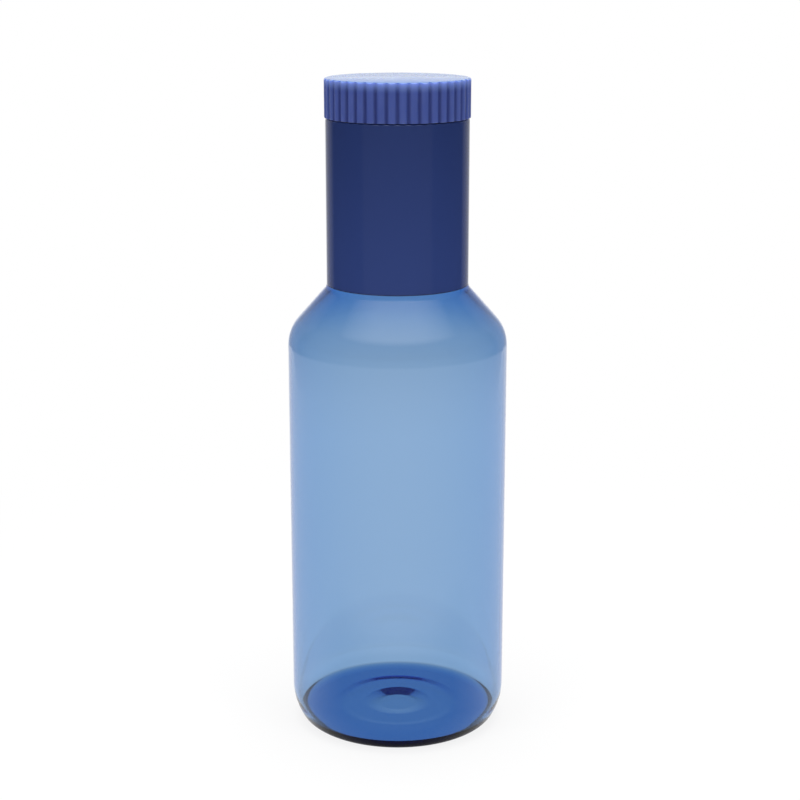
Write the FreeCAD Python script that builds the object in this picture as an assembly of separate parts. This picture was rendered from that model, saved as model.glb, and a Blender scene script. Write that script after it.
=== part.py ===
"""Stoppered glass carafe: tinted body, opaque neck, ribbed cap on a push-in plug.

The bottle stands on z = 0 with its axis on Z. Sizes are in millimetres.
"""
import FreeCAD, Part
import math
import os

# Glass, from the floor up
BODY_DIAMETER = 92.0
NECK_DIAMETER = 59.2
BODY_HEIGHT = 172.8
SHOULDER_RISE = 18.6
NECK_LENGTH = 69.4
GLASS_WALL = 1.4
NECK_WALL = 2.8
SHOULDER_RADIUS = 16.0
NECK_RADIUS = 4.0
RIM_ROUND = 0.8

# Heel: an oval rounding drawn as two arcs on a sloping line, outside and inside
HEEL_INSET = 4.8
HEEL_RISE = 8.8
HEEL_FOOT_ROUND = 5.6
HEEL_SIDE_ROUND = 23.9
INNER_INSET = 2.4
INNER_RISE = 6.0
INNER_FOOT_ROUND = 0.8
INNER_SIDE_ROUND = 18.0

# Underside: a flat standing ring round a very shallow push-up
STAND_RADIUS = 30.6
PUSH_UP_SLOPE = 12.6
PUSH_UP_HEIGHT = 0.2
PUSH_UP_ROUND = 40.0

# Inside floor: flat, with a shallow step and a dimple in the middle
BASE_THICKNESS = 4.8
STEP_RADIUS = 26.5
STEP_SLOPE = 3.4
STEP_DEPTH = 0.36
STEP_ROUND = 8.0
DIMPLE_RADIUS = 14.4
DIMPLE_SLOPE = 6.6
DIMPLE_DEPTH = 1.0
DIMPLE_ROUND = 5.0

# Cap
CAP_HEIGHT = 16.0
CAP_OVERHANG = 0.4
CAP_TOP = 3.0
CAP_EDGE_ROUND = 1.0
CAP_FOOT_ROUND = 0.35
RIB_COUNT = 42
RIB_DEPTH = 0.9
RIB_SHARE = 0.68
RIB_SHOULDER = 0.62
LIP_HEIGHT = 2.2
LIP_OVERLAP = 0.6

# Plug and seals
PLUG_DEPTH = 20.0
PLUG_GAP = 1.4
PLUG_WALL = 2.8
PLUG_FLOOR = 2.4
PLUG_ROUND = 2.0
SEAL_DROP = 5.0
SEAL_HEIGHT = 9.0
SEAL_GROOVE = 1.2
SEAL_COLLAR = 0.2
FIN_COUNT = 3
FIN_ROOT = 1.6
FIN_TIP = 0.8
RIM_GASKET_THICKNESS = 1.2
RIM_GASKET_RECESS = 0.9
RIM_GASKET_INSET = 1.6

# Clearances
SNAP_CLEARANCE = 0.1
RUNNING_CLEARANCE = 0.05
SEAL_END_PLAY = 0.1

# Sizes that follow from the ones above
body_radius = BODY_DIAMETER / 2
neck_radius = NECK_DIAMETER / 2
body_bore = body_radius - GLASS_WALL
neck_bore = neck_radius - NECK_WALL
shoulder_top = BODY_HEIGHT + SHOULDER_RISE
shoulder_turn = math.atan2(body_radius - neck_radius, SHOULDER_RISE)
bend_share = math.tan(shoulder_turn / 2)
neck_joint = shoulder_top + NECK_RADIUS * bend_share
rim_height = shoulder_top + NECK_LENGTH
gasket_radius = neck_radius - RIM_GASKET_INSET
gasket_top = rim_height + RIM_GASKET_THICKNESS
cap_bottom = gasket_top - RIM_GASKET_RECESS
cap_top = cap_bottom + CAP_HEIGHT
cap_ceiling = cap_top - CAP_TOP
cap_radius = neck_radius + CAP_OVERHANG
lip_top = cap_bottom + LIP_HEIGHT
plug_radius = neck_bore - PLUG_GAP
plug_bottom = rim_height - PLUG_DEPTH
lip_bore = plug_radius + SNAP_CLEARANCE
head_radius = lip_bore + LIP_OVERLAP
cap_cavity = head_radius + SNAP_CLEARANCE
groove_top = rim_height - SEAL_DROP
groove_bottom = groove_top - SEAL_HEIGHT
groove_radius = plug_radius - SEAL_GROOVE

ORIGIN = FreeCAD.Vector(0, 0, 0)
UP = FreeCAD.Vector(0, 0, 1)
SAME_POINT = 1e-6


def corner_stops(before, here, after, fillet):
    """Start, middle and end of the arc that rounds one corner."""
    to_before = (before - here).normalize()
    to_after = (after - here).normalize()
    half_angle = to_before.getAngle(to_after) / 2
    reach = fillet / math.tan(half_angle)
    bisector = (to_before + to_after).normalize()
    middle = here + bisector * (fillet / math.sin(half_angle) - fillet)
    return here + to_before * reach, middle, here + to_after * reach


def section(corners):
    """Closed outline in the XZ half plane from (radius, height, rounding) corners."""
    points = [FreeCAD.Vector(radius, 0, height) for radius, height, _ in corners]
    stops = []
    for index, (_, _, fillet) in enumerate(corners):
        here = points[index]
        if fillet:
            after = points[(index + 1) % len(points)]
            stops.append(corner_stops(points[index - 1], here, after, fillet))
        else:
            stops.append((here, None, here))
    edges = []
    for index, (start, middle, end) in enumerate(stops):
        if middle:
            edges.append(Part.Arc(start, middle, end).toShape())
        next_start = stops[(index + 1) % len(stops)][0]
        if end.distanceToPoint(next_start) > SAME_POINT:
            edges.append(Part.LineSegment(end, next_start).toShape())
    return Part.Wire(edges)


def turned(corners):
    """Solid of revolution about Z."""
    return Part.Face(section(corners)).revolve(ORIGIN, UP, 360)


def make_glass_body():
    """Tinted base, cylinder and shoulder, up to the line where the neck is fused on."""
    outside = [
        (neck_radius, neck_joint, 0),
        (neck_radius, shoulder_top, NECK_RADIUS),
        (body_radius, BODY_HEIGHT, SHOULDER_RADIUS),
        (body_radius, HEEL_RISE, HEEL_SIDE_ROUND),
        (body_radius - HEEL_INSET, 0, HEEL_FOOT_ROUND),
        (STAND_RADIUS, 0, 0),
        (STAND_RADIUS - PUSH_UP_SLOPE, PUSH_UP_HEIGHT, PUSH_UP_ROUND),
        (0, PUSH_UP_HEIGHT, 0),
    ]
    step_floor = BASE_THICKNESS - STEP_DEPTH
    dimple_floor = step_floor - DIMPLE_DEPTH
    inside = [
        (0, dimple_floor, 0),
        (DIMPLE_RADIUS - DIMPLE_SLOPE, dimple_floor, DIMPLE_ROUND),
        (DIMPLE_RADIUS, step_floor, DIMPLE_ROUND),
        (STEP_RADIUS - STEP_SLOPE, step_floor, STEP_ROUND),
        (STEP_RADIUS, BASE_THICKNESS, STEP_ROUND),
        (body_bore - INNER_INSET, BASE_THICKNESS, INNER_FOOT_ROUND),
        (body_bore, BASE_THICKNESS + INNER_RISE, INNER_SIDE_ROUND),
        (body_bore, BODY_HEIGHT - GLASS_WALL * bend_share, SHOULDER_RADIUS - GLASS_WALL),
        (neck_bore, shoulder_top - NECK_WALL * bend_share, NECK_RADIUS + GLASS_WALL),
        (neck_bore, neck_joint, 0),
    ]
    return turned(outside + inside)


def make_neck_tube():
    """Opaque neck with a fire-polished rim."""
    return turned([
        (neck_bore, neck_joint, 0),
        (neck_radius, neck_joint, 0),
        (neck_radius, rim_height, RIM_ROUND),
        (neck_bore, rim_height, RIM_ROUND),
    ])


def on_circle(radius, turn):
    return FreeCAD.Vector(radius * math.cos(turn), radius * math.sin(turn), cap_bottom)


def ribbed_outline():
    """Rounded ribs with narrower rounded grooves between them."""
    pitch = 2 * math.pi / RIB_COUNT
    half_rib = pitch * RIB_SHARE / 2
    flank = cap_radius - RIB_DEPTH * RIB_SHOULDER
    edges = []
    for index in range(RIB_COUNT):
        crest = index * pitch
        rib_start = on_circle(flank, crest - half_rib)
        rib_end = on_circle(flank, crest + half_rib)
        next_start = on_circle(flank, crest + pitch - half_rib)
        groove = on_circle(cap_radius - RIB_DEPTH, crest + pitch / 2)
        edges.append(Part.Arc(rib_start, on_circle(cap_radius, crest), rib_end).toShape())
        edges.append(Part.Arc(rib_end, groove, next_start).toShape())
    return Part.Wire(edges)


def make_cap_shell():
    """Ribbed cap, hollow below, with a recess for the washer and a lip that holds the head of the plug."""
    ribs = Part.Face(ribbed_outline()).extrude(UP * CAP_HEIGHT)
    rounded_blank = turned([
        (0, cap_bottom, 0),
        (cap_radius, cap_bottom, CAP_FOOT_ROUND),
        (cap_radius, cap_top, CAP_EDGE_ROUND),
        (0, cap_top, 0),
    ])
    hollow = turned([
        (0, cap_bottom, 0),
        (gasket_radius + SNAP_CLEARANCE, cap_bottom, 0),
        (gasket_radius + SNAP_CLEARANCE, gasket_top, 0),
        (lip_bore, gasket_top, 0),
        (lip_bore, lip_top, 0),
        (cap_cavity, lip_top, 0),
        (cap_cavity, cap_ceiling, 0),
        (0, cap_ceiling, 0),
    ])
    return ribs.common(rounded_blank).cut(hollow)


def make_plug_insert():
    """Cup that hangs in the neck; its wider head snaps in above the lip of the cap."""
    cup_radius = plug_radius - PLUG_WALL
    cup_floor = plug_bottom + PLUG_FLOOR
    return turned([
        (0, plug_bottom, 0),
        (plug_radius, plug_bottom, PLUG_ROUND),
        (plug_radius, groove_bottom, 0),
        (groove_radius, groove_bottom, 0),
        (groove_radius, groove_top, 0),
        (plug_radius, groove_top, 0),
        (plug_radius, lip_top, 0),
        (head_radius, lip_top, 0),
        (head_radius, cap_ceiling, 0),
        (cup_radius, cap_ceiling, 0),
        (cup_radius, cup_floor, PLUG_ROUND),
        (0, cup_floor, 0),
    ])


def make_plug_gasket():
    """Silicone sleeve in the groove of the plug, with fins that reach the neck."""
    bottom = groove_bottom + SEAL_END_PLAY
    top = groove_top - SEAL_END_PLAY
    inner = groove_radius + RUNNING_CLEARANCE
    collar = plug_radius + SEAL_COLLAR
    tip_radius = neck_bore - RUNNING_CLEARANCE
    fin_pitch = (top - bottom) / FIN_COUNT
    corners = [(inner, bottom, 0), (collar, bottom, 0)]
    for index in range(FIN_COUNT):
        middle = bottom + (index + 0.5) * fin_pitch
        corners += [
            (collar, middle - FIN_ROOT / 2, 0),
            (tip_radius, middle - FIN_TIP / 2, 0),
            (tip_radius, middle + FIN_TIP / 2, 0),
            (collar, middle + FIN_ROOT / 2, 0),
        ]
    corners += [(collar, top, 0), (inner, top, 0)]
    return turned(corners)


def make_rim_gasket():
    """Flat washer on the rim of the neck, sunk into the underside of the cap."""
    return turned([
        (lip_bore, rim_height, 0),
        (gasket_radius, rim_height, 0),
        (gasket_radius, gasket_top, 0),
        (lip_bore, gasket_top, 0),
    ])


pieces = {
    "glass_body": make_glass_body(),
    "neck_tube": make_neck_tube(),
    "cap_shell": make_cap_shell(),
    "plug_insert": make_plug_insert(),
    "plug_gasket": make_plug_gasket(),
    "rim_gasket": make_rim_gasket(),
}

os.makedirs("parts", exist_ok=True)
for name, shape in pieces.items():
    shape.exportStep(f"parts/{name}.step")
    print(name, "solids", len(shape.Solids), "valid", shape.isValid(), "mm3", round(shape.Volume, 1))
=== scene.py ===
import math

import bmesh
import bpy
from bpy.props import FloatProperty, FloatVectorProperty, IntProperty, PointerProperty
from mathutils import Matrix, Vector


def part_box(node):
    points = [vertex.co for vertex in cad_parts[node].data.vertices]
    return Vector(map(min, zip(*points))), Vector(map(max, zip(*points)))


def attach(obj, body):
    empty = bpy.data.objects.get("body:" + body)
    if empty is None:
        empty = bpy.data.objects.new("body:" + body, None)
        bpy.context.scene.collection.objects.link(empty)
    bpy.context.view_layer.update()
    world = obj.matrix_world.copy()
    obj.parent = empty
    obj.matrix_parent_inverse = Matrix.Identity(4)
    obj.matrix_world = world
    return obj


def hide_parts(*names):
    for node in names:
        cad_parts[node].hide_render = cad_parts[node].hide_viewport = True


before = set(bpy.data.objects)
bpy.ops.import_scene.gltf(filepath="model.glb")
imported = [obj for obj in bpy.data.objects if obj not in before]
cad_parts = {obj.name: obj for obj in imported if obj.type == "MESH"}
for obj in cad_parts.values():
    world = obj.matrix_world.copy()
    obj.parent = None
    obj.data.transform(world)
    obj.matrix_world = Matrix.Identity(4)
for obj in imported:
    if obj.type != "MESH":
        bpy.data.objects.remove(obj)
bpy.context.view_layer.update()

bl_info = {
    "name": "Stoppered carafe",
    "version": (1, 0, 0),
    "blender": (4, 5, 0),
    "location": "View3D > Sidebar > Carafe",
    "description": "Tinted glass carafe with an opaque neck and a ribbed push-in stopper",
    "category": "Object",
}

MM = 0.001
_, GLASS_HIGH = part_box("glass_body")
NECK_LOW, NECK_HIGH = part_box("neck_tube")
CAP_LOW, CAP_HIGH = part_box("cap_shell")
PLUG_LOW, PLUG_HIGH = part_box("plug_insert")
SLEEVE_LOW, SLEEVE_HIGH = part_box("plug_gasket")
WASHER_LOW, WASHER_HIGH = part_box("rim_gasket")

# Meshing
TURN_STEPS = 240
ARC_STEP = math.radians(4.0)
EDGE_SUPPORT = 0.5 * MM
MERGE_DISTANCE = 1e-6
SAME_PLACE = 1e-8
SHARP_ANGLE = math.radians(32.0)
FULL_TURN = 2 * math.pi
QUARTER_TURN = math.pi / 2
PHASES = 16
EDGE_LOOPS = 6

# Surfaces: noise scales are per metre, and each roughness is a range
NOISE_SPAN = (0.3, 0.7)
WHITE = (1, 1, 1, 1)
GLASS_IOR = 1.47
GLASS_ROUGHNESS = (0.0, 0.012)
DRAW_LINE_SCALE = 60.0
DRAW_LINE_STRETCH = (1, 1, 0.12)
DRAW_LINE_HEIGHT = 0.02 * MM
DRAW_LINE_STRENGTH = 0.3
OPAQUE_IOR = 1.5
OPAQUE_ROUGHNESS = (0.03, 0.07)
STREAK_SCALE = 30.0
STREAK_STRETCH = (1, 1, 0.25)
STREAK_SHADE = (-0.06, 0.06)
RIPPLE_SCALE = 45.0
RIPPLE_STRETCH = (1, 1, 0.3)
RIPPLE_HEIGHT = 0.02 * MM
RIPPLE_STRENGTH = 0.4
PLASTIC_IOR = 1.49
PLASTIC_ROUGHNESS = (0.13, 0.19)
PLASTIC_GRAIN_SCALE = 2600.0
PLASTIC_GRAIN_HEIGHT = 0.003 * MM
PLASTIC_GRAIN_STRENGTH = 0.3
CLOUD_SCALE = 90.0
GLOW_RADIUS = (0.5, 0.6, 1.0)
GLOW_SCALE = 3.0 * MM
CAP_GLOW = 0.6
PLUG_GLOW = 0.3
GROOVE_SHADE_END = 0.35
EDGE_GLOW_DEPTH = 4.6 * MM
EDGE_GLOW_TOP = 0.4 * MM
EDGE_GLOW_FALL = 1.8
FLAT_TOP_START = 0.3 * MM
FLAT_TOP_FULL = 0.1 * MM
SILICONE_IOR = 1.41
SILICONE_ROUGHNESS = (0.42, 0.58)
SILICONE_GRAIN_SCALE = 3200.0
SILICONE_GRAIN_HEIGHT = 0.02 * MM
SILICONE_GRAIN_STRENGTH = 0.5
BLOOM_SCALE = 160.0
GRAIN_DETAIL = 2.0

# Floor, as the camera sees it: white paper whose shadow fades out with the distance
FLOOR_WIDTH = 1.0
FLOOR_STRETCH = (1.0, 1.05, 1.0)
FLOOR_SHIFT = (0.0, 0.225, -0.2 * MM)
FLOOR_PAPER = (0.86, 0.86, 0.86, 1)
SHADOW_SPAN = (0.12, 0.4)
SHADOW_FADE = (0.85, 1.0)

# Levels mirrored in the pieces: round the horizon from front to back, low down, overhead, and on the floor
# just in front, where a dark patch is a painted shadow
GLOSS_SWEEP = [(0.0, 0.13), (0.215, 0.13), (0.235, 0.03), (0.775, 0.03), (0.82, 0.22), (0.86, 0.30),
               (0.915, 0.40), (0.97, 0.55), (0.989, 1.0)]
LOW_GLOSS = 0.9
LOW_SPAN = (-0.19, -0.25)
TOP_GLOSS = 2.0
TOP_SPAN = (0.75, 0.92)
FRONT_SHADOW_LEVELS = [(0.0, 0.05), (0.45, 0.05), (0.8, 0.7), (1.0, 0.9)]
PATCH_CENTRE = (0.0, -95.0 * MM, 0.0)
PATCH_REACH = 100.0 * MM
PATCH_STRETCH = (0.45, 1.0, 1.0)

# Levels seen through the glass: all round, far behind, high up and under the base, where the lower level is a
# painted shadow
BACKDROP = 0.72
BACKDROP_FAR = 0.62
BEHIND_SPAN = (0.55, 0.95)
FAR_SPAN = (0.45, 0.75)
BACKDROP_TOP = 0.3
HIGH_SPAN = (0.05, 0.3)
UNDER_BASE_SHADOW = 0.58
UNDER_SPAN = (46.0 * MM, 56.0 * MM)
AXIS_LIMIT = 0.001

# Lights and camera; light trapped in the base takes many bounces
GLASS_BOUNCES = 24
WHITE_LEVEL = 1.0
AIM = (0.0, 0.0, 0.15)
TOP_PANEL = (0.0, 0.05, 1.3)
TOP_PANEL_SIZE = 0.9
LEFT_PANEL = (-0.9, -0.9, 0.7)
RIGHT_PANEL = (0.9, -0.9, 0.7)
SIDE_PANEL_SIZE = 0.7
SENSOR_WIDTH = 36.0


def length(name, description, default):
    return FloatProperty(name=name, description=description, default=default, unit="LENGTH", precision=5)


def colour(name, description, default):
    return FloatVectorProperty(
        name=name, description=description, default=default, subtype="COLOR", size=3, min=0.0, max=1.0)


def factor(name, description, default):
    return FloatProperty(
        name=name, description=description, default=default, min=0.0, max=1.0, subtype="FACTOR")


class GlassSizes(bpy.types.PropertyGroup):
    """Sizes of the tinted body and the opaque neck."""
    body_radius: length("Body radius", "Outside radius of the cylinder", GLASS_HIGH[0])
    bend_height: length("Bend height", "Floor to the bend where the shoulder starts", 172.8 * MM)
    shoulder_rise: length("Shoulder rise", "Height of the sloping shoulder", 18.6 * MM)
    wall: length("Wall", "Thickness of the body's wall", 1.4 * MM)
    neck_wall: length("Neck wall", "Thickness of the neck's wall", 2.8 * MM)
    base: length("Base", "Thickness of the glass at the base", 4.8 * MM)
    inner_inset: length("Inner inset", "Bore to the corner of the inside floor", 2.4 * MM)
    inner_rise: length("Inner rise", "Inside floor to the corner of the heel on the bore", 6.0 * MM)
    inner_foot: length("Inner foot rounding", "Rounding of the heel at the inside floor", 0.8 * MM)
    inner_side: length("Inner side rounding", "Rounding of the heel on the bore", 18.0 * MM)
    shoulder: length("Shoulder", "Rounding where the wall meets the shoulder", 16.0 * MM)
    neck_fillet: length("Neck fillet", "Rounding where the shoulder meets the neck", 4.0 * MM)
    heel_inset: length("Heel inset", "Wall to the corner of the foot", 4.8 * MM)
    heel_rise: length("Heel rise", "Floor to the corner of the heel on the wall", 8.8 * MM)
    heel_foot: length("Heel foot rounding", "Rounding of the heel at the foot", 5.6 * MM)
    heel_side: length("Heel side rounding", "Rounding of the heel on the wall", 23.9 * MM)
    stand: length("Standing ring", "Inner radius of the ring that the bottle stands on", 30.6 * MM)
    push_up: length("Push-up", "Height of the shallow push-up under the base", 0.2 * MM)
    push_slope: length("Push-up slope", "Width of the push-up's flank", 12.6 * MM)
    push_round: length("Push-up rounding", "Rounding at the top of the push-up", 40.0 * MM)
    step: length("Step radius", "Outer radius of the shallow step in the inside floor", 26.5 * MM)
    step_slope: length("Step slope", "Width of the step", 3.4 * MM)
    step_depth: length("Step depth", "Drop of the step", 0.36 * MM)
    step_round: length("Step rounding", "Rounding of the step's edges", 8.0 * MM)
    dimple: length("Dimple radius", "Outer radius of the dimple in the inside floor", 14.4 * MM)
    dimple_slope: length("Dimple slope", "Width of the dimple's flank", 6.6 * MM)
    dimple_depth: length("Dimple depth", "Depth of the dimple", 1.0 * MM)
    dimple_round: length("Dimple rounding", "Rounding of the dimple's edges", 5.0 * MM)
    neck_radius: length("Neck radius", "Outside radius of the neck", NECK_HIGH[0])
    rim_round: length("Rim rounding", "Fire-polished rounding of the rim", 0.8 * MM)
    fused_depth: length("Fused depth", "How far the neck is sunk into the body's edge", 0.4 * MM)
    fused_skin: length("Fused skin", "Clear skin left over the sunk edge", 0.06 * MM)


class StopperSizes(bpy.types.PropertyGroup):
    """Sizes of the cap, the plug and the seals."""
    rib_count: IntProperty(name="Ribs", description="Number of ribs round the cap", default=42, min=8)
    rib_depth: length("Rib depth", "Crest of a rib to the bottom of a groove", 0.9 * MM)
    rib_share: factor("Rib share", "Share of the pitch that a rib takes", 0.68)
    rib_shoulder: factor("Rib shoulder", "Share of the depth where rib and groove meet", 0.62)
    edge_round: length("Edge rounding", "Rounding of the cap's upper edge", 1.0 * MM)
    foot_round: length("Foot rounding", "Rounding of the cap's lower edge", 0.35 * MM)
    top: length("Top", "Thickness of the cap's top", 3.0 * MM)
    lip_bore: length("Lip bore", "Radius of the hole that the plug hangs in", 25.5 * MM)
    lip_height: length("Lip height", "Height of the lip under the plug's head", 2.2 * MM)
    cavity: length("Cavity", "Radius of the hollow in the cap", 26.2 * MM)
    plug_radius: length("Plug radius", "Outside radius of the plug", 25.4 * MM)
    plug_wall: length("Plug wall", "Thickness of the plug's wall", 2.8 * MM)
    plug_floor: length("Plug floor", "Thickness of the plug's floor", 2.4 * MM)
    plug_round: length("Plug rounding", "Rounding of the plug's lower edge", 2.0 * MM)
    groove_depth: length("Groove depth", "Depth of the groove that holds the sleeve", 1.2 * MM)
    groove_play: length("Groove play", "Room above and below the sleeve", 0.1 * MM)
    sleeve_collar: length("Sleeve collar", "Radius of the sleeve between its fins", 25.6 * MM)
    fins: IntProperty(name="Fins", description="Number of sealing fins", default=3, min=1)
    fin_root: length("Fin root", "Height of a fin where it leaves the sleeve", 1.6 * MM)
    fin_tip: length("Fin tip", "Height of a fin at its tip", 0.8 * MM)
    washer_play: length("Washer play", "Room round the washer in its recess", 0.1 * MM)
    broken_edge: length("Broken edge", "Small rounding of moulded edges", 0.25 * MM)
    soft_edge: length("Soft edge", "Small rounding of silicone edges", 0.18 * MM)


class Finishes(bpy.types.PropertyGroup):
    """Colours and surfaces."""
    glass_tint: colour("Glass tint", "Colour that the glass lets through", (0.050, 0.500, 0.900))
    glass_density: FloatProperty(
        name="Glass density", description="How fast the tint deepens, per metre", default=400.0, min=0.0)
    neck_blue: colour("Neck blue", "Opaque glass at the foot of the neck", (0.0283, 0.0516, 0.1865))
    # Painted shade: the neck darkens towards the rim, in place of the cap's shadow and the light falling off
    # up the neck
    neck_rim_shade: colour("Neck deep blue", "Opaque glass at the rim", (0.0185, 0.0346, 0.130))
    cap_blue: colour("Cap blue", "Translucent plastic of the cap", (0.062, 0.094, 0.305))
    cap_pale: colour("Cap pale blue", "Paler clouds in the cap", (0.070, 0.104, 0.330))
    # Painted light and shade on the cap, in the next three colours: shade in the grooves, light along the
    # upper edge, and a sheen on the flat top
    cap_groove_shade: colour("Cap deep blue", "Shade in the grooves of the cap", (0.032, 0.048, 0.200))
    cap_edge_light: colour("Cap edge blue", "Light caught in the cap's upper edge", (0.200, 0.290, 0.680))
    cap_top_sheen: colour("Cap top blue", "Plastic of the cap's flat top", (0.068, 0.158, 0.400))
    plug_blue: colour("Plug blue", "Plastic of the plug", (0.075, 0.100, 0.330))
    plug_pale: colour("Plug pale blue", "Paler clouds in the plug", (0.095, 0.125, 0.380))
    seal_blue: colour("Seal blue", "Silicone of the seals", (0.016, 0.024, 0.085))
    seal_dusty: colour("Seal dusty blue", "Dusty bloom on the seals", (0.026, 0.036, 0.105))


class StudioSettings(bpy.types.PropertyGroup):
    """Camera and light."""
    camera_distance: length("Camera distance", "From the bottle's axis", 720.0 * MM)
    camera_height: length("Camera height", "Above the floor", 327.4 * MM)
    camera_tilt: FloatProperty(
        name="Camera tilt", description="Downward tilt", default=math.radians(14.445), subtype="ANGLE")
    camera_turn: FloatProperty(
        name="Camera turn", description="Turn to the right", default=0.0014, subtype="ANGLE")
    lens: FloatProperty(
        name="Lens", description="Focal length on a 36 mm sensor", default=78.72, unit="CAMERA")
    sky_level: FloatProperty(
        name="Sky level", description="Even light from all round", default=0.45, min=0.0)
    top_power: FloatProperty(
        name="Top light", description="Power of the overhead panel", default=14.0, unit="POWER")
    side_power: FloatProperty(
        name="Side lights", description="Power of each side panel", default=5.0, unit="POWER")


def clear_selection():
    if bpy.context.object and bpy.context.object.mode != "OBJECT":
        bpy.ops.object.mode_set(mode="OBJECT")
    bpy.ops.object.select_all(action="DESELECT")


def corner_arc(before, here, after, fillet):
    """Points of the arc that rounds one corner, from its start to its end."""
    to_before = (before - here).normalized()
    to_after = (after - here).normalized()
    half_angle = to_before.angle(to_after) / 2
    reach = fillet / math.tan(half_angle)
    centre = here + (to_before + to_after).normalized() * (fillet / math.sin(half_angle))
    spoke = here + to_before * reach - centre
    turn = math.pi - 2 * half_angle
    if to_before.cross(to_after) > 0:
        turn = -turn
    steps = max(2, math.ceil(abs(turn) / ARC_STEP))
    return [centre + Matrix.Rotation(turn * step / steps, 2) @ spoke for step in range(steps + 1)]


def outline(corners, closed):
    """Points along an outline of (radius, height, rounding) corners, with a support point beside each arc."""
    places = [Vector((radius, height)) for radius, height, _ in corners]
    runs = []
    for index, (_, _, fillet) in enumerate(corners):
        here = places[index]
        if fillet:
            after = places[(index + 1) % len(places)]
            runs.append(corner_arc(places[index - 1], here, after, fillet))
        else:
            runs.append([here])
    if closed:
        runs.append(runs[0][:1])
    points = []
    for run, following in zip(runs, runs[1:] + [None]):
        points += run
        if following is None:
            break
        gap = following[0] - run[-1]
        if gap.length > 3 * EDGE_SUPPORT:
            step = gap.normalized() * EDGE_SUPPORT
            points += [run[-1] + step, following[0] - step]
    kept = points[:1]
    for point in points[1:]:
        if (point - kept[-1]).length > MERGE_DISTANCE:
            kept.append(point)
    return kept


def finish_mesh(name):
    """Closes the seam, turns the faces outwards, smooths the round ones and names the piece."""
    bpy.ops.mesh.select_all(action="SELECT")
    bpy.ops.mesh.remove_doubles(threshold=MERGE_DISTANCE)
    bpy.ops.mesh.normals_make_consistent(inside=False)
    bpy.ops.object.mode_set(mode="OBJECT")
    bpy.ops.object.shade_smooth_by_angle(angle=SHARP_ANGLE)
    piece = bpy.context.object
    piece.name = name
    piece.data.name = name
    return piece


def turned(name, corners, closed=True):
    """A piece turned on a lathe: one vertex is drawn along the outline and spun round the axis."""
    clear_selection()
    points = outline(corners, closed)
    bpy.ops.mesh.primitive_plane_add(size=MM)
    bpy.ops.object.mode_set(mode="EDIT")
    bpy.ops.mesh.select_mode(type="VERT")
    bpy.ops.mesh.select_all(action="SELECT")
    bpy.ops.mesh.merge(type="CENTER")
    bpy.ops.transform.translate(value=(points[0].x, 0, points[0].y))
    for last, point in zip(points, points[1:]):
        move = (point.x - last.x, 0, point.y - last.y)
        bpy.ops.mesh.extrude_vertices_move(TRANSFORM_OT_translate={"value": move})
    bpy.ops.mesh.select_all(action="SELECT")
    bpy.ops.mesh.spin(steps=TURN_STEPS, angle=FULL_TURN, center=(0, 0, 0), axis=(0, 0, 1))
    return finish_mesh(name)


def mount(piece, body, node, material):
    """Hangs a finished piece on its body in place of its CAD node."""
    piece.data.materials.clear()
    piece.data.materials.append(material)
    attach(piece, body)
    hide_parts(node)


class NodeDesk:
    """Adds and links the nodes of one material or world."""

    def __init__(self, owner, keep=False):
        owner.use_nodes = True
        self.tree = owner.node_tree
        if not keep:
            self.tree.nodes.clear()

    def add(self, kind, **values):
        node = self.tree.nodes.new(kind)
        for name, value in values.items():
            if hasattr(node, name):
                setattr(node, name, value)
            else:
                node.inputs[name.replace("_", " ")].default_value = value
        return node

    def join(self, start, end):
        self.tree.links.new(start, end)

    def math(self, operation, first, second=0.0):
        node = self.add("ShaderNodeMath", operation=operation)
        for socket, value in zip(node.inputs, (first, second)):
            if isinstance(value, (int, float)):
                socket.default_value = value
            else:
                self.join(value, socket)
        return node.outputs[0]

    def noise(self, place, scale, detail=3.0, stretch=(1, 1, 1)):
        turn = self.add("ShaderNodeMapping")
        turn.inputs["Scale"].default_value = stretch
        self.join(place, turn.inputs["Vector"])
        noise = self.add("ShaderNodeTexNoise")
        noise.inputs["Scale"].default_value = scale
        noise.inputs["Detail"].default_value = detail
        self.join(turn.outputs["Vector"], noise.inputs["Vector"])
        return noise.outputs["Fac"]

    def ramp(self, value, start, end, low, high):
        """Low where the value is at start or before it, high where it is at end or past it."""
        span = self.add("ShaderNodeMapRange")
        for name, limit in {"From Min": start, "From Max": end, "To Min": low, "To Max": high}.items():
            span.inputs[name].default_value = limit
        self.join(value, span.inputs["Value"])
        return span.outputs["Result"]

    def spread(self, noise, low, high):
        """A noise stretched over the range from low to high."""
        return self.ramp(noise, *NOISE_SPAN, low, high)

    def blend(self, share, first, second):
        """The first colour where share is 0, the second where it is 1."""
        mix = self.add("ShaderNodeMix", data_type="RGBA")
        self.join(share, mix.inputs["Factor"])
        mix.inputs[6].default_value = (*first, 1)
        mix.inputs[7].default_value = (*second, 1)
        return mix.outputs[2]

    def tint(self, share, plain, tinted):
        """The plain colour socket, changed to another colour where share is 1."""
        mix = self.add("ShaderNodeMix", data_type="RGBA")
        self.join(share, mix.inputs["Factor"])
        self.join(plain, mix.inputs[6])
        mix.inputs[7].default_value = (*tinted, 1)
        return mix.outputs[2]

    def bump(self, height, distance, strength=1.0):
        node = self.add("ShaderNodeBump")
        node.inputs["Strength"].default_value = strength
        node.inputs["Distance"].default_value = distance
        self.join(height, node.inputs["Height"])
        return node.outputs["Normal"]


def surface_desk(name):
    """A new material with a Principled surface and the piece's own coordinates."""
    material = bpy.data.materials.new(name)
    desk = NodeDesk(material)
    place = desk.add("ShaderNodeTexCoord").outputs["Object"]
    surface = desk.add("ShaderNodeBsdfPrincipled")
    output = desk.add("ShaderNodeOutputMaterial")
    desk.join(surface.outputs["BSDF"], output.inputs["Surface"])
    return material, desk, place, surface, output


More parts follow.
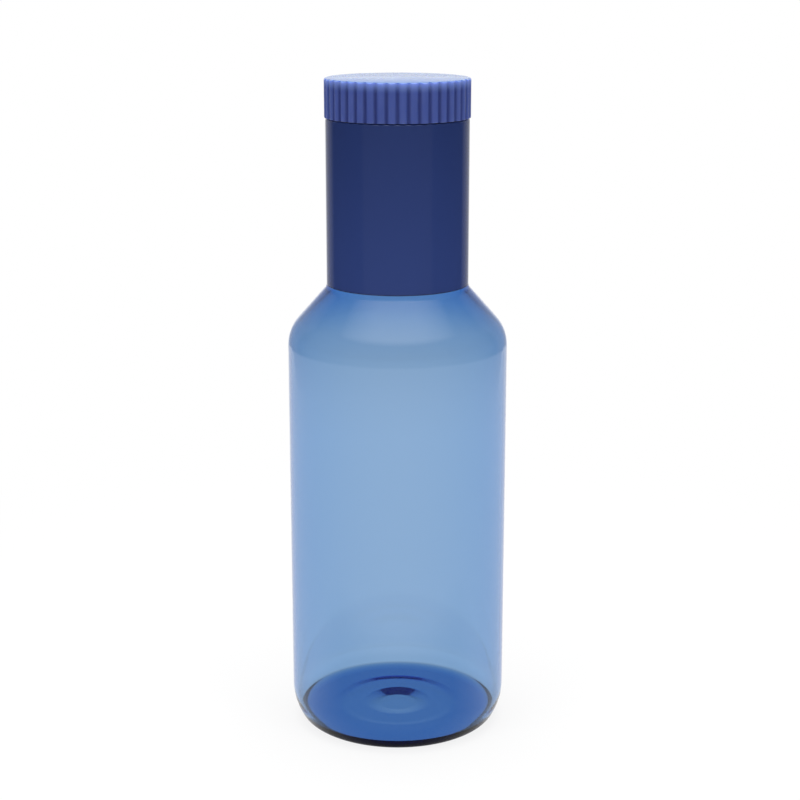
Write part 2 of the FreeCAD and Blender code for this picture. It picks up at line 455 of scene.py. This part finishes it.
def compass(desk, place):
    """How far a place lies from the axis, how far round it lies (0 in front, 1 behind) and its height."""
    parts = desk.add("ShaderNodeSeparateXYZ")
    desk.join(place, parts.inputs[0])
    east, north, up = parts.outputs
    squares = desk.math("ADD", desk.math("MULTIPLY", east, east), desk.math("MULTIPLY", north, north))
    distance = desk.math("SQRT", squares)
    facing = desk.math("DIVIDE", north, desk.math("MAXIMUM", distance, AXIS_LIMIT))
    return distance, desk.math("ADD", desk.math("MULTIPLY", facing, 0.5), 0.5), up


def shade_ramp(desk, place, stops):
    """Grey levels along a place from 0 to 1."""
    ramp = desk.add("ShaderNodeValToRGB")
    band = ramp.color_ramp
    while len(band.elements) < len(stops):
        band.elements.new(1.0)
    for element, (stop, shade) in zip(band.elements, stops):
        element.position = stop
        element.color = (shade, shade, shade, 1)
    desk.join(place, ramp.inputs["Fac"])
    return ramp.outputs["Color"]


def choose(desk, share, without, with_share):
    """One number where share is 0, another where it is 1."""
    mix = desk.add("ShaderNodeMix", data_type="FLOAT")
    desk.join(share, mix.inputs["Factor"])
    for socket, value in zip(mix.inputs[2:4], (without, with_share)):
        if isinstance(value, float):
            socket.default_value = value
        else:
            desk.join(value, socket)
    return mix.outputs[0]


def make_tinted_glass(finish):
    material, desk, place, surface, output = surface_desk("tinted_glass")
    surface.inputs["Base Color"].default_value = WHITE
    surface.inputs["Transmission Weight"].default_value = 1.0
    surface.inputs["IOR"].default_value = GLASS_IOR
    draw_lines = desk.noise(place, DRAW_LINE_SCALE, stretch=DRAW_LINE_STRETCH)
    lines = desk.bump(draw_lines, DRAW_LINE_HEIGHT, DRAW_LINE_STRENGTH)
    desk.join(desk.spread(draw_lines, *GLASS_ROUGHNESS), surface.inputs["Roughness"])
    desk.join(lines, surface.inputs["Normal"])
    tint = desk.add("ShaderNodeVolumeAbsorption")
    tint.inputs["Color"].default_value = (*finish.glass_tint, 1)
    tint.inputs["Density"].default_value = finish.glass_density
    desk.join(tint.outputs["Volume"], output.inputs["Volume"])
    return material


def make_opaque_glass(finish):
    material, desk, place, surface, _ = surface_desk("opaque_glass")
    streaks = desk.noise(place, STREAK_SCALE, stretch=STREAK_STRETCH)
    ripple = desk.noise(place, RIPPLE_SCALE, detail=1.0, stretch=RIPPLE_STRETCH)
    parts = desk.add("ShaderNodeSeparateXYZ")
    desk.join(place, parts.inputs[0])
    # Painted shade: darker towards the rim, standing in for the cap's shadow and the light falling off up the
    # neck
    climb = desk.ramp(parts.outputs[2], NECK_LOW[2], NECK_HIGH[2], 0.0, 1.0)
    share = desk.math("ADD", climb, desk.spread(streaks, *STREAK_SHADE))
    shade = desk.blend(share, finish.neck_blue, finish.neck_rim_shade)
    desk.join(shade, surface.inputs["Base Color"])
    desk.join(desk.spread(streaks, *OPAQUE_ROUGHNESS), surface.inputs["Roughness"])
    desk.join(desk.bump(ripple, RIPPLE_HEIGHT, RIPPLE_STRENGTH), surface.inputs["Normal"])
    surface.inputs["IOR"].default_value = OPAQUE_IOR
    return material


def make_moulded_plastic(name, deep, pale, glow):
    material, desk, place, surface, _ = surface_desk(name)
    clouds = desk.noise(place, CLOUD_SCALE)
    grain = desk.noise(place, PLASTIC_GRAIN_SCALE, detail=GRAIN_DETAIL)
    shade = desk.blend(desk.spread(clouds, 0.0, 1.0), deep, pale)
    desk.join(shade, surface.inputs["Base Color"])
    desk.join(desk.spread(clouds, *PLASTIC_ROUGHNESS), surface.inputs["Roughness"])
    desk.join(desk.bump(grain, PLASTIC_GRAIN_HEIGHT, PLASTIC_GRAIN_STRENGTH), surface.inputs["Normal"])
    surface.inputs["IOR"].default_value = PLASTIC_IOR
    surface.inputs["Subsurface Weight"].default_value = glow
    surface.inputs["Subsurface Radius"].default_value = GLOW_RADIUS
    surface.inputs["Subsurface Scale"].default_value = GLOW_SCALE
    return material


def shade_cap(material, finish, size):
    """Painted shade in the grooves, painted light along the upper edge and a painted sheen on the flat top of
    the cap's plastic.
    """
    desk = NodeDesk(material, keep=True)
    surface = desk.tree.nodes["Principled BSDF"]
    plain = surface.inputs["Base Color"].links[0].from_socket
    place = desk.tree.nodes["Texture Coordinate"].outputs["Object"]
    radius, _, up = compass(desk, place)
    crest = CAP_HIGH[0]
    flank = crest - GROOVE_SHADE_END * size.rib_depth
    # Painted shade: the grooves get darker towards their bottoms
    sunk = desk.ramp(radius, crest - size.rib_depth, flank, 1.0, 0.0)
    high = CAP_HIGH[2]
    # Painted light: the upper edge grows paler towards the top, as if lit through the plastic
    climb = desk.ramp(up, high - EDGE_GLOW_DEPTH, high - EDGE_GLOW_TOP, 0.0, 1.0)
    edge = desk.math("POWER", climb, EDGE_GLOW_FALL)
    # Painted sheen: the flat top gets its own paler, greener colour
    flat = desk.ramp(up, high - FLAT_TOP_START, high - FLAT_TOP_FULL, 0.0, 1.0)
    grooved = desk.tint(sunk, plain, finish.cap_groove_shade)
    lit = desk.tint(edge, grooved, finish.cap_edge_light)
    desk.join(desk.tint(flat, lit, finish.cap_top_sheen), surface.inputs["Base Color"])


def make_silicone(finish):
    material, desk, place, surface, _ = surface_desk("seal_silicone")
    bloom = desk.noise(place, BLOOM_SCALE)
    grain = desk.noise(place, SILICONE_GRAIN_SCALE, detail=GRAIN_DETAIL)
    shade = desk.blend(desk.spread(bloom, 0.0, 1.0), finish.seal_blue, finish.seal_dusty)
    desk.join(shade, surface.inputs["Base Color"])
    desk.join(desk.spread(bloom, *SILICONE_ROUGHNESS), surface.inputs["Roughness"])
    desk.join(desk.bump(grain, SILICONE_GRAIN_HEIGHT, SILICONE_GRAIN_STRENGTH), surface.inputs["Normal"])
    surface.inputs["IOR"].default_value = SILICONE_IOR
    return material


class CARAFE_OT_glass_body(bpy.types.Operator):
    """Turn the tinted body, from its base to the edge where the neck is fused on."""
    bl_idname = "carafe.glass_body"
    bl_label = "Tinted body"

    def execute(self, context):
        size = context.scene.carafe_glass
        shoulder_top = size.bend_height + size.shoulder_rise
        turn = math.atan2(size.body_radius - size.neck_radius, size.shoulder_rise)
        bend_share = math.tan(turn / 2)
        joint = GLASS_HIGH[2]
        bore = size.body_radius - size.wall
        neck_bore = size.neck_radius - size.neck_wall
        step_floor = size.base - size.step_depth
        dimple_floor = step_floor - size.dimple_depth
        corners = [
            (0, size.push_up, 0),
            (size.stand - size.push_slope, size.push_up, size.push_round),
            (size.stand, 0, 0),
            (size.body_radius - size.heel_inset, 0, size.heel_foot),
            (size.body_radius, size.heel_rise, size.heel_side),
            (size.body_radius, size.bend_height, size.shoulder),
            (size.neck_radius, shoulder_top, size.neck_fillet),
            (size.neck_radius, joint, 0),
            (neck_bore, joint, 0),
            (neck_bore, shoulder_top - size.neck_wall * bend_share, size.neck_fillet + size.wall),
            (bore, size.bend_height - size.wall * bend_share, size.shoulder - size.wall),
            (bore, size.base + size.inner_rise, size.inner_side),
            (bore - size.inner_inset, size.base, size.inner_foot),
            (size.step, size.base, size.step_round),
            (size.step - size.step_slope, step_floor, size.step_round),
            (size.dimple, step_floor, size.dimple_round),
            (size.dimple - size.dimple_slope, dimple_floor, size.dimple_round),
            (0, dimple_floor, 0),
        ]
        piece = turned("tinted_body", corners, closed=False)
        mount(piece, "bottle", "glass_body", make_tinted_glass(context.scene.carafe_finish))
        return {"FINISHED"}


class CARAFE_OT_neck_tube(bpy.types.Operator):
    """Turn the opaque neck, with a fire-polished rim and a lower edge sunk into the body's edge."""
    bl_idname = "carafe.neck_tube"
    bl_label = "Opaque neck"

    def execute(self, context):
        size = context.scene.carafe_glass
        joint = NECK_LOW[2]
        rim = NECK_HIGH[2]
        bore = size.neck_radius - size.neck_wall
        sunk = joint - size.fused_depth
        corners = [
            (bore + size.fused_skin, joint, 0),
            (bore + size.fused_skin, sunk, 0),
            (size.neck_radius - size.fused_skin, sunk, 0),
            (size.neck_radius - size.fused_skin, joint, 0),
            (size.neck_radius, joint, 0),
            (size.neck_radius, rim, size.rim_round),
            (bore, rim, size.rim_round),
            (bore, joint, 0),
        ]
        piece = turned("opaque_neck", corners)
        mount(piece, "bottle", "neck_tube", make_opaque_glass(context.scene.carafe_finish))
        return {"FINISHED"}


class RibbedRing:
    """A loop of vertices round the cap, drawn level by level and pushed to each level's outline."""

    def __init__(self, size, radius):
        self.steps = size.rib_count * PHASES
        self.radius = radius
        self.height = 0.0
        self.newest = []
        pitch = FULL_TURN / size.rib_count
        half_rib = pitch * size.rib_share / 2
        half_groove = pitch / 2 - half_rib
        groove = radius - size.rib_depth
        flank = radius - size.rib_depth * size.rib_shoulder
        rib_centre = (radius ** 2 - flank ** 2) / (2 * (radius - flank * math.cos(half_rib)))
        groove_centre = (flank ** 2 - groove ** 2) / (2 * (flank * math.cos(half_groove) - groove))
        self.ribbed = []
        for phase in range(PHASES // 2 + 1):
            turn = pitch * phase / PHASES
            if turn <= half_rib:
                reach = math.sqrt((radius - rib_centre) ** 2 - (rib_centre * math.sin(turn)) ** 2)
                self.ribbed.append(rib_centre * math.cos(turn) + reach)
            else:
                turn = pitch / 2 - turn
                reach = math.sqrt((groove_centre - groove) ** 2 - (groove_centre * math.sin(turn)) ** 2)
                self.ribbed.append(groove_centre * math.cos(turn) - reach)
        self.radii = [radius] * len(self.ribbed)

    def phase_of(self, place):
        step = round(math.atan2(place.y, place.x) / FULL_TURN * self.steps) % PHASES
        return min(step, PHASES - step)

    def select(self, wanted):
        edit = bmesh.from_edit_mesh(bpy.context.edit_object.data)
        edit.verts.ensure_lookup_table()
        for vertex in edit.verts:
            vertex.select = False
        for index in self.newest:
            vertex = edit.verts[index]
            vertex.select = wanted is None or self.phase_of(vertex.co) == wanted
        edit.select_flush_mode()
        bmesh.update_edit_mesh(bpy.context.edit_object.data)

    def start(self, height):
        bpy.ops.mesh.primitive_circle_add(vertices=self.steps, radius=self.radius, fill_type="NOTHING")
        bpy.ops.object.mode_set(mode="EDIT")
        bpy.ops.mesh.select_mode(type="VERT")
        bpy.ops.mesh.select_all(action="SELECT")
        bpy.ops.transform.translate(value=(0, 0, height))
        self.note(height)

    def draw(self, height):
        bpy.ops.mesh.extrude_region_move(TRANSFORM_OT_translate={"value": (0, 0, height - self.height)})
        self.note(height)

    def note(self, height):
        edit = bmesh.from_edit_mesh(bpy.context.edit_object.data)
        edit.verts.index_update()
        self.newest = [vertex.index for vertex in edit.verts if vertex.select]
        self.height = height

    def push(self, radii):
        """Moves the newest loop, phase by phase, to the given radii."""
        for phase, radius in enumerate(radii):
            if abs(radius - self.radii[phase]) > SAME_PLACE:
                self.select(phase)
                ratio = radius / self.radii[phase]
                bpy.ops.transform.resize(value=(ratio, ratio, 1), center_override=(0, 0, self.height))
        self.radii = list(radii)
        self.select(None)


def rounded_edge(radius, fillet):
    """Distance from the end face, and radius, of the loops that round one edge of the cap."""
    turns = [QUARTER_TURN * step / EDGE_LOOPS for step in range(EDGE_LOOPS + 1)]
    return [(fillet * (1 - math.sin(turn)), radius - fillet * (1 - math.cos(turn))) for turn in turns]


class CARAFE_OT_ribbed_cap(bpy.types.Operator):
    """Draw the ribbed cap from one loop of vertices: hollow, lip, rounded lower edge, ribs and top."""
    bl_idname = "carafe.ribbed_cap"
    bl_label = "Ribbed cap"

    def execute(self, context):
        size = context.scene.carafe_stopper
        low = CAP_LOW[2]
        high = CAP_HIGH[2]
        lip_top = low + size.lip_height
        ring = RibbedRing(size, CAP_HIGH[0])
        recess = WASHER_HIGH[0] + size.washer_play
        washer_top = WASHER_HIGH[2]
        round_loops = [
            (lip_top, size.cavity),
            (lip_top, size.lip_bore),
            (washer_top, size.lip_bore),
            (washer_top, recess),
            (low, recess),
        ]
        foot = reversed(rounded_edge(ring.radius, size.foot_round))
        crown = rounded_edge(ring.radius, size.edge_round)
        ribbed_loops = [(low + rise, reach) for rise, reach in foot]
        ribbed_loops += [(high - rise, reach) for rise, reach in crown]
        clear_selection()
        ring.start(high - size.top)
        ring.push([size.cavity] * len(ring.ribbed))
        bpy.ops.mesh.edge_face_add()
        for height, reach in round_loops:
            ring.draw(height)
            ring.push([reach] * len(ring.ribbed))
        for height, reach in ribbed_loops:
            ring.draw(height)
            ring.push([min(reach, ribbed) for ribbed in ring.ribbed])
        bpy.ops.mesh.edge_face_add()
        piece = finish_mesh("ribbed_cap")
        finish = context.scene.carafe_finish
        plastic = make_moulded_plastic("cap_plastic", finish.cap_blue, finish.cap_pale, CAP_GLOW)
        shade_cap(plastic, finish, size)
        mount(piece, "stopper", "cap_shell", plastic)
        return {"FINISHED"}


class CARAFE_OT_plug(bpy.types.Operator):
    """Turn the plug: a cup with a groove for its sleeve and a head that sits above the cap's lip."""
    bl_idname = "carafe.plug"
    bl_label = "Plug"

    def execute(self, context):
        size = context.scene.carafe_stopper
        low = PLUG_LOW[2]
        high = PLUG_HIGH[2]
        head = PLUG_HIGH[0]
        lip_top = CAP_LOW[2] + size.lip_height
        groove_low = SLEEVE_LOW[2] - size.groove_play
        groove_high = SLEEVE_HIGH[2] + size.groove_play
        groove = size.plug_radius - size.groove_depth
        cup = size.plug_radius - size.plug_wall
        floor = low + size.plug_floor
        edge = size.broken_edge
        corners = [
            (0, low, 0),
            (size.plug_radius, low, size.plug_round),
            (size.plug_radius, groove_low, edge),
            (groove, groove_low, edge),
            (groove, groove_high, edge),
            (size.plug_radius, groove_high, edge),
            (size.plug_radius, lip_top, 0),
            (head, lip_top, edge),
            (head, high, 0),
            (cup, high, edge),
            (cup, floor, size.plug_round),
            (0, floor, 0),
        ]
        piece = turned("plug_cup", corners, closed=False)
        finish = context.scene.carafe_finish
        plastic = make_moulded_plastic("plug_plastic", finish.plug_blue, finish.plug_pale, PLUG_GLOW)
        mount(piece, "stopper", "plug_insert", plastic)
        return {"FINISHED"}


class CARAFE_OT_seals(bpy.types.Operator):
    """Turn the finned sleeve on the plug and the flat washer under the cap."""
    bl_idname = "carafe.seals"
    bl_label = "Seals"

    def execute(self, context):
        size = context.scene.carafe_stopper
        silicone = make_silicone(context.scene.carafe_finish)
        edge = size.soft_edge
        low = SLEEVE_LOW[2]
        high = SLEEVE_HIGH[2]
        inner = size.plug_radius - size.groove_depth + size.groove_play / 2
        tip = SLEEVE_HIGH[0]
        pitch = (high - low) / size.fins
        corners = [(inner, low, edge), (size.sleeve_collar, low, edge)]
        for fin in range(size.fins):
            middle = low + (fin + 0.5) * pitch
            corners += [
                (size.sleeve_collar, middle - size.fin_root / 2, edge),
                (tip, middle - size.fin_tip / 2, edge),
                (tip, middle + size.fin_tip / 2, edge),
                (size.sleeve_collar, middle + size.fin_root / 2, edge),
            ]
        corners += [(size.sleeve_collar, high, edge), (inner, high, edge)]
        sleeve = turned("finned_sleeve", corners)
        mount(sleeve, "seal", "plug_gasket", silicone)
        outer = WASHER_HIGH[0]
        washer = turned("rim_washer", [
            (size.lip_bore, WASHER_LOW[2], edge),
            (outer, WASHER_LOW[2], edge),
            (outer, WASHER_HIGH[2], edge),
            (size.lip_bore, WASHER_HIGH[2], edge),
        ])
        mount(washer, "stopper", "rim_gasket", silicone)
        return {"FINISHED"}


def backdrop_level(desk, sweep):
    """Brightness of the surroundings seen through the glass: a little lower behind the carafe."""
    return desk.ramp(sweep, *BEHIND_SPAN, BACKDROP, BACKDROP_FAR)


def make_floor():
    """White paper with the object's shadow to the camera, and set levels to gloss and glass, with a painted
    shadow in front of the object in gloss and a painted shadow under its base through glass.
    """
    clear_selection()
    bpy.ops.mesh.primitive_plane_add(size=FLOOR_WIDTH)
    bpy.ops.object.mode_set(mode="EDIT")
    bpy.ops.transform.resize(value=FLOOR_STRETCH, center_override=(0, 0, 0))
    bpy.ops.transform.translate(value=FLOOR_SHIFT)
    bpy.ops.object.mode_set(mode="OBJECT")
    floor = bpy.context.object
    floor.name = "studio_floor"
    material = bpy.data.materials.new("floor_white")
    desk = NodeDesk(material)
    path = desk.add("ShaderNodeLightPath")
    place = desk.add("ShaderNodeTexCoord").outputs["Object"]
    distance, sweep, _ = compass(desk, place)
    fade = desk.ramp(distance, *SHADOW_SPAN, *SHADOW_FADE)
    paper = desk.add("ShaderNodeBsdfDiffuse")
    paper.inputs["Color"].default_value = FLOOR_PAPER
    glow = desk.add("ShaderNodeEmission")
    glow.inputs["Strength"].default_value = WHITE_LEVEL
    plain = desk.add("ShaderNodeMixShader")
    desk.join(desk.math("MULTIPLY", path.outputs["Is Camera Ray"], fade), plain.inputs["Fac"])
    desk.join(paper.outputs[0], plain.inputs[1])
    desk.join(glow.outputs[0], plain.inputs[2])
    narrowed = desk.add("ShaderNodeVectorMath", operation="MULTIPLY")
    desk.join(place, narrowed.inputs[0])
    narrowed.inputs[1].default_value = PATCH_STRETCH
    offset = desk.add("ShaderNodeVectorMath", operation="DISTANCE")
    desk.join(narrowed.outputs["Vector"], offset.inputs[0])
    offset.inputs[1].default_value = PATCH_CENTRE
    # Painted shadow: in gloss the floor is dark in a patch just in front of the object
    reach = desk.ramp(offset.outputs["Value"], 0.0, PATCH_REACH, 0.0, 1.0)
    front_shadow = shade_ramp(desk, reach, FRONT_SHADOW_LEVELS)
    bent = desk.add("ShaderNodeEmission")
    far = desk.ramp(distance, *FAR_SPAN, 0.0, 1.0)
    open_floor = choose(desk, far, BACKDROP, backdrop_level(desk, sweep))
    # Painted shadow: through the glass the floor is dimmer under the base
    clear = desk.ramp(distance, *UNDER_SPAN, 0.0, 1.0)
    in_glass = choose(desk, clear, UNDER_BASE_SHADOW, open_floor)
    through, mirrored = path.outputs["Is Transmission Ray"], path.outputs["Is Glossy Ray"]
    desk.join(choose(desk, through, front_shadow, in_glass), bent.inputs["Strength"])
    mix = desk.add("ShaderNodeMixShader")
    desk.join(desk.math("MAXIMUM", mirrored, through), mix.inputs["Fac"])
    desk.join(plain.outputs[0], mix.inputs[1])
    desk.join(bent.outputs[0], mix.inputs[2])
    output = desk.add("ShaderNodeOutputMaterial")
    desk.join(mix.outputs[0], output.inputs["Surface"])
    floor.data.materials.append(material)


def make_sky(studio):
    """White to the camera, even light on the object, and set levels to gloss and glass."""
    world = bpy.data.worlds.new("studio")
    bpy.context.scene.world = world
    desk = NodeDesk(world)
    path = desk.add("ShaderNodeLightPath")
    heading = desk.add("ShaderNodeTexCoord").outputs["Generated"]
    _, sweep, up = compass(desk, heading)
    low = desk.ramp(up, *LOW_SPAN, 0.0, 1.0)
    high = desk.ramp(up, *HIGH_SPAN, 0.0, 1.0)
    in_glass = choose(desk, high, backdrop_level(desk, sweep), BACKDROP_TOP)
    top = desk.ramp(up, *TOP_SPAN, 0.0, 1.0)
    level_gloss = choose(desk, low, shade_ramp(desk, sweep, GLOSS_SWEEP), LOW_GLOSS)
    in_gloss = choose(desk, top, level_gloss, TOP_GLOSS)
    mirrored = choose(desk, path.outputs["Is Glossy Ray"], studio.sky_level, in_gloss)
    through = choose(desk, path.outputs["Is Transmission Ray"], mirrored, in_glass)
    shown = choose(desk, path.outputs["Is Camera Ray"], through, WHITE_LEVEL)
    sky = desk.add("ShaderNodeBackground")
    sky.inputs["Color"].default_value = WHITE
    desk.join(shown, sky.inputs["Strength"])
    output = desk.add("ShaderNodeOutputWorld")
    desk.join(sky.outputs[0], output.inputs["Surface"])


def add_panel(name, place, size, power):
    """A soft square light that lights the object and isn't mirrored in it."""
    bpy.ops.object.light_add(type="AREA", location=place)
    panel = bpy.context.object
    panel.name = name
    panel.data.shape = "SQUARE"
    panel.data.size = size
    panel.data.energy = power
    panel.rotation_euler = (Vector(AIM) - Vector(place)).to_track_quat("-Z", "Y").to_euler()
    panel.visible_glossy = False
    panel.visible_camera = False
    panel.visible_transmission = False


class CARAFE_OT_studio(bpy.types.Operator):
    """Set up the pale floor, the soft light and the camera."""
    bl_idname = "carafe.studio"
    bl_label = "Studio"

    def execute(self, context):
        studio = context.scene.carafe_studio
        make_floor()
        make_sky(studio)
        add_panel("top_panel", TOP_PANEL, TOP_PANEL_SIZE, studio.top_power)
        add_panel("left_panel", LEFT_PANEL, SIDE_PANEL_SIZE, studio.side_power)
        add_panel("right_panel", RIGHT_PANEL, SIDE_PANEL_SIZE, studio.side_power)
        bpy.ops.object.camera_add(
            location=(0, -studio.camera_distance, studio.camera_height),
            rotation=(QUARTER_TURN - studio.camera_tilt, 0, -studio.camera_turn))
        camera = context.object
        camera.name = "photo_camera"
        camera.data.lens = studio.lens
        camera.data.sensor_width = SENSOR_WIDTH
        context.scene.camera = camera
        context.scene.view_settings.view_transform = "Standard"
        context.scene.cycles.max_bounces = GLASS_BOUNCES
        context.scene.cycles.glossy_bounces = GLASS_BOUNCES
        return {"FINISHED"}


class CARAFE_PT_parts(bpy.types.Panel):
    """Lists the carafe's pieces and their sizes."""
    bl_label = "Stoppered carafe"
    bl_idname = "CARAFE_PT_parts"
    bl_space_type = "VIEW_3D"
    bl_region_type = "UI"
    bl_category = "Carafe"

    def draw(self, context):
        layout = self.layout
        for operator in OPERATORS:
            layout.operator(operator.bl_idname)
        for group in SETTINGS:
            settings = getattr(context.scene, group)
            box = layout.box()
            for name in settings.__annotations__:
                box.prop(settings, name)


OPERATORS = (
    CARAFE_OT_glass_body,
    CARAFE_OT_neck_tube,
    CARAFE_OT_ribbed_cap,
    CARAFE_OT_plug,
    CARAFE_OT_seals,
    CARAFE_OT_studio,
)
SETTINGS = {
    "carafe_glass": GlassSizes,
    "carafe_stopper": StopperSizes,
    "carafe_finish": Finishes,
    "carafe_studio": StudioSettings,
}


def register():
    for item in (*SETTINGS.values(), *OPERATORS, CARAFE_PT_parts):
        bpy.utils.register_class(item)
    for name, group in SETTINGS.items():
        setattr(bpy.types.Scene, name, PointerProperty(type=group))


def unregister():
    for name in SETTINGS:
        delattr(bpy.types.Scene, name)
    for item in (CARAFE_PT_parts, *OPERATORS, *SETTINGS.values()):
        bpy.utils.unregister_class(item)


def main():
    register()
    bpy.ops.carafe.glass_body()
    bpy.ops.carafe.neck_tube()
    bpy.ops.carafe.ribbed_cap()
    bpy.ops.carafe.plug()
    bpy.ops.carafe.seals()
    bpy.ops.carafe.studio()


if __name__ == "__main__":
    main()
